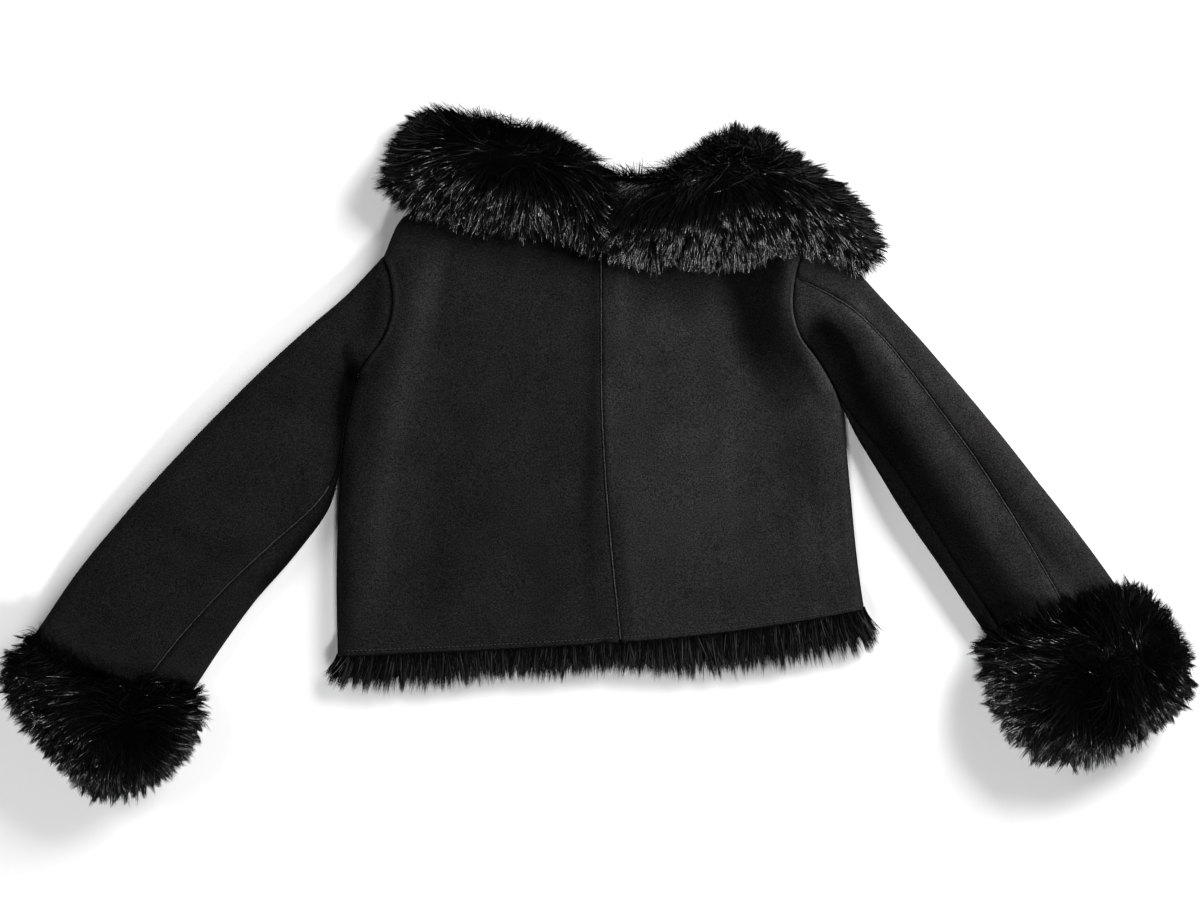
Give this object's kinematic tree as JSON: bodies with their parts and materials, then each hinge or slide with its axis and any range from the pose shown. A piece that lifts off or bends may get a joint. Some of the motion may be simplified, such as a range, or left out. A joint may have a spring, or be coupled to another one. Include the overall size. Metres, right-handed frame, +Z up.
{
  "type": "sheepskin coat",
  "caption": "Cropped black shearling coat with a fur collar, fur cuffs and wool at the hem, laid flat on its front.",
  "frame": {"origin": "middle of the coat's outline, on the surface that it lies on", "axes": "+X across the coat towards the picture's right, +Y towards the collar, +Z up from the surface"},
  "size_m": [1.1276, 0.6516, 0.0628],
  "materials": {
    "suede": "matte black suede with a fine mottled nap",
    "long_fur": "long glossy black fur",
    "hem_wool": "straight black wool with a low gloss"
  },
  "bodies": {
    "root": {"back_left": "suede", "back_right": "suede", "front_left": "suede", "front_right": "suede", "sleeve_left_upper": "suede", "sleeve_left_under": "suede", "sleeve_right_upper": "suede", "sleeve_right_under": "suede", "collar_left": "long_fur", "collar_right": "long_fur", "cuff_left": "long_fur", "cuff_right": "long_fur", "hem_fur_back": "hem_wool", "hem_fur_front": "hem_wool"}
  },
  "joints": []
}
